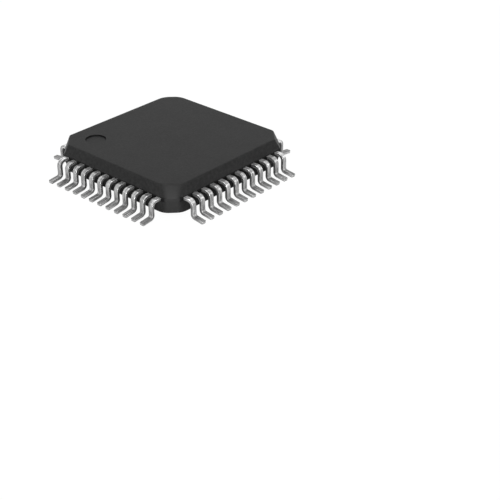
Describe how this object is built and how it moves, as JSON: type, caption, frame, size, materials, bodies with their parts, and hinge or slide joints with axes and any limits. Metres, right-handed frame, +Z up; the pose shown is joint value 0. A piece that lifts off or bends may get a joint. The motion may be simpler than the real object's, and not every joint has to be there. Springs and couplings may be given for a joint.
{
  "type": "programmable logic chip",
  "caption": "Square black plastic quad flat pack with gull-wing leads on all four sides, one cut corner and a round dimple beside the first lead.",
  "frame": {"origin": "on the seating plane that the toes of the leads stand on, under the middle of the package", "axes": "+Z up out of the top face; lead 1 is on the -X side next to the cut corner at -X +Y, and the leads count counter-clockwise seen from above"},
  "size_m": [0.009, 0.009, 0.0014],
  "materials": {
    "tinned_lead": "matte tin plating over copper alloy, faint streaks along the strip",
    "mould_compound": "fine eroded matte of black epoxy moulding compound",
    "frame_alloy": "bare rolled copper alloy, sealed inside",
    "die_adhesive": "cured silver-filled epoxy, sealed inside",
    "silicon": "polished passivated silicon, sealed inside",
    "wire_gold": "drawn gold wire, sealed inside"
  },
  "bodies": {
    "root": {"lead_01": "tinned_lead", "lead_02": "tinned_lead", "lead_03": "tinned_lead", "lead_04": "tinned_lead", "lead_05": "tinned_lead", "lead_06": "tinned_lead", "lead_07": "tinned_lead", "lead_08": "tinned_lead", "lead_09": "tinned_lead", "lead_10": "tinned_lead", "lead_11": "tinned_lead", "lead_12": "tinned_lead", "lead_13": "tinned_lead", "lead_14": "tinned_lead", "lead_15": "tinned_lead", "lead_16": "tinned_lead", "lead_17": "tinned_lead", "lead_18": "tinned_lead", "lead_19": "tinned_lead", "lead_20": "tinned_lead", "lead_21": "tinned_lead", "lead_22": "tinned_lead", "lead_23": "tinned_lead", "lead_24": "tinned_lead", "lead_25": "tinned_lead", "lead_26": "tinned_lead", "lead_27": "tinned_lead", "lead_28": "tinned_lead", "lead_29": "tinned_lead", "lead_30": "tinned_lead", "lead_31": "tinned_lead", "lead_32": "tinned_lead", "lead_33": "tinned_lead", "lead_34": "tinned_lead", "lead_35": "tinned_lead", "lead_36": "tinned_lead", "lead_37": "tinned_lead", "lead_38": "tinned_lead", "lead_39": "tinned_lead", "lead_40": "tinned_lead", "lead_41": "tinned_lead", "lead_42": "tinned_lead", "lead_43": "tinned_lead", "lead_44": "tinned_lead", "lead_45": "tinned_lead", "lead_46": "tinned_lead", "lead_47": "tinned_lead", "lead_48": "tinned_lead", "die_paddle": "frame_alloy", "die_attach": "die_adhesive", "silicon_die": "silicon", "bond_wires": "wire_gold", "moulded_body": "mould_compound"}
  },
  "joints": []
}
